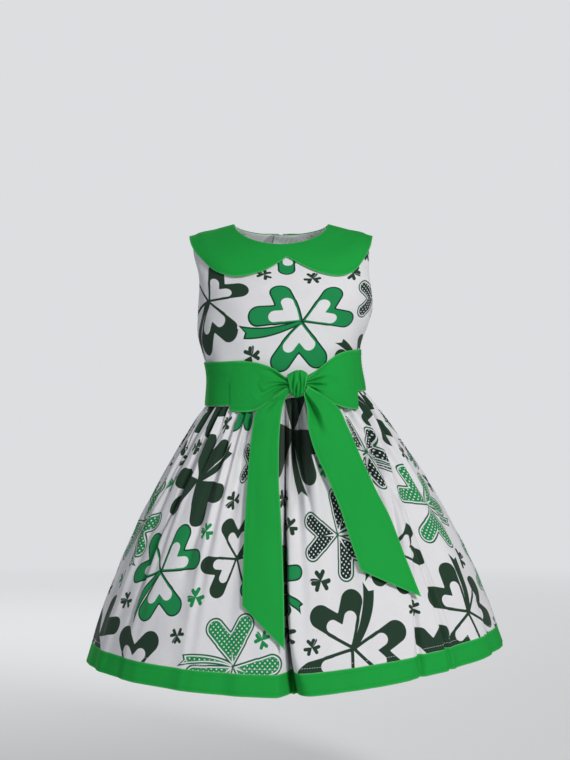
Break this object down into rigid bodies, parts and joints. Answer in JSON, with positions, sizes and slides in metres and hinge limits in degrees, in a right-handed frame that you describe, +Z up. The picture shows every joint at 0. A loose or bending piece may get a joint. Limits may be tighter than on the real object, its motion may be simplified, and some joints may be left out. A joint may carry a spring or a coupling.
{
  "type": "gathered dress",
  "caption": "Child's sleeveless party dress with a fitted bodice, flat round collar, gathered knee-length skirt, hem band and a wide sash tied in a front bow.",
  "frame": {"origin": "middle of the neck opening, level with the neck end of the shoulder seams, where the wearer's shoulders hold the dress", "axes": "+Z up along the dress, -Y to its front, +X to the viewer's right from the front"},
  "size_m": [0.4972, 0.3667, 0.5367],
  "materials": {
    "print_cotton": "white woven cotton with a green clover print, matt",
    "plain_cotton": "plain bright green woven cotton, matt",
    "button": "white, satin"
  },
  "bodies": {
    "root": {"bodice_front": "print_cotton", "bodice_back_left": "print_cotton", "bodice_back_right": "print_cotton", "collar": "plain_cotton", "skirt_front": "print_cotton", "skirt_back": "print_cotton", "hem_band_front": "plain_cotton", "hem_band_back": "plain_cotton", "sash_band": "plain_cotton", "bow_knot": "plain_cotton", "bow_loop_left": "plain_cotton", "bow_loop_right": "plain_cotton", "sash_tail_left": "plain_cotton", "sash_tail_right": "plain_cotton", "button_1": "button", "button_2": "button", "button_3": "button"}
  },
  "joints": []
}
